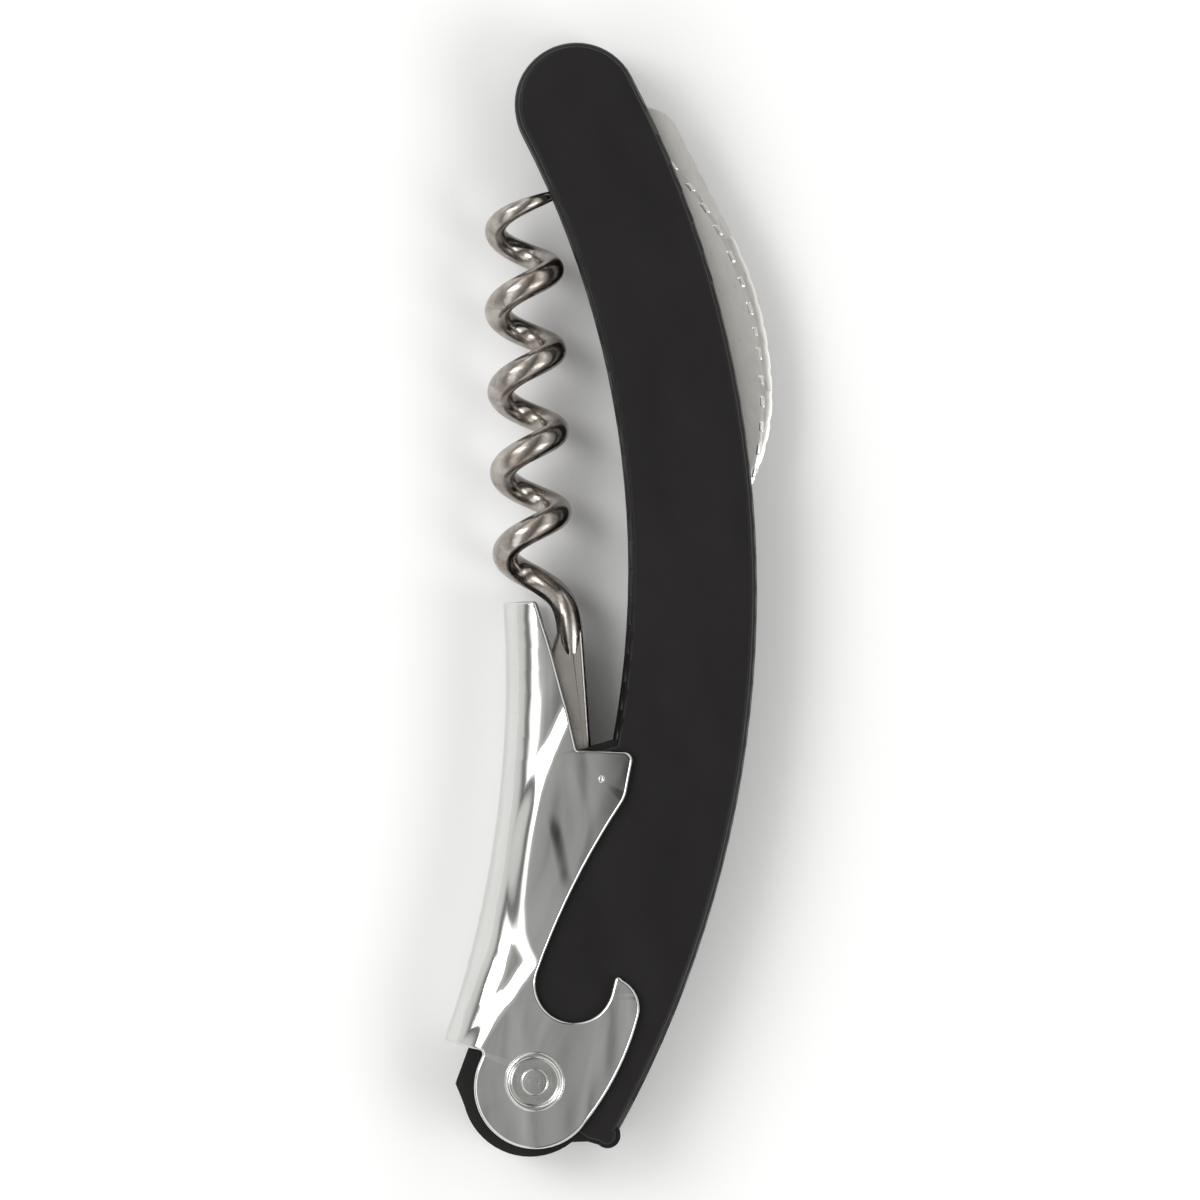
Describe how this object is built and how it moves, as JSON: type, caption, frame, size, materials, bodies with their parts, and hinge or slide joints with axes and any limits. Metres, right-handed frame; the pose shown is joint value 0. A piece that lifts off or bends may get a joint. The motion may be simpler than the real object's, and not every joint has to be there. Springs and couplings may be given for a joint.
{
  "type": "lever corkscrew",
  "caption": "Waiter's friend corkscrew, closed, with a curved handle, a folding worm, a folding lever with a bottle-opener hook, and a folding foil knife.",
  "frame": {"origin": "middle of the footprint of the closed tool lying on its side, at the height of its lowest rivet head", "axes": "+Y along the handle from the lever rivet to the round cap, +X from the worm side to the knife side, +Z across the handle, along every pivot"},
  "size_m": [0.0353, 0.1199, 0.014],
  "materials": {
    "black_enamel": "satin black stoved enamel over folded steel",
    "black_scale": "warm black, smooth satin",
    "bright_plate": "mirror-bright nickel plate with light handling scratches",
    "plain_steel": "plain turned steel",
    "nylon": "black nylon",
    "worm_steel": "bright drawn wire, warm grey",
    "blade_steel": "satin stamped steel with a ground edge"
  },
  "bodies": {
    "handle": {"handle_frame": "black_enamel", "handle_scale_front": "black_scale", "handle_scale_back": "black_scale", "lever_rivet_sleeve": "bright_plate", "lever_rivet_pin": "bright_plate", "lever_spacer_tube": "plain_steel", "lever_washer_front": "nylon", "lever_washer_back": "nylon", "worm_pin": "plain_steel", "worm_stop_pin": "plain_steel", "worm_spacer_front": "plain_steel", "worm_spacer_back": "plain_steel", "knife_pin": "plain_steel", "knife_spacer_front": "plain_steel", "knife_spacer_back": "plain_steel"},
    "lever": {"lever": "bright_plate"},
    "worm": {"worm": "worm_steel"},
    "knife": {"knife": "blade_steel"}
  },
  "joints": [
    {"name": "lever_swing", "type": "hinge", "parent": "handle", "child": "lever", "pos_m": [-0.00796, -0.05183, 0.007], "axis": [0, 0, 1], "range_deg": [0, 150]},
    {"name": "worm_swing", "type": "hinge", "parent": "handle", "child": "worm", "pos_m": [-0.00496, -0.02333, 0.007], "axis": [0, 0, 1], "range_deg": [0, 93]},
    {"name": "knife_swing", "type": "hinge", "parent": "handle", "child": "knife", "pos_m": [0.00349, 0.04847, 0.007], "axis": [0, 0, 1], "range_deg": [0, 150]}
  ],
  "couplings": [
    {"joint": "worm_swing", "follows": "lever_swing", "ratio": 0.62}
  ]
}
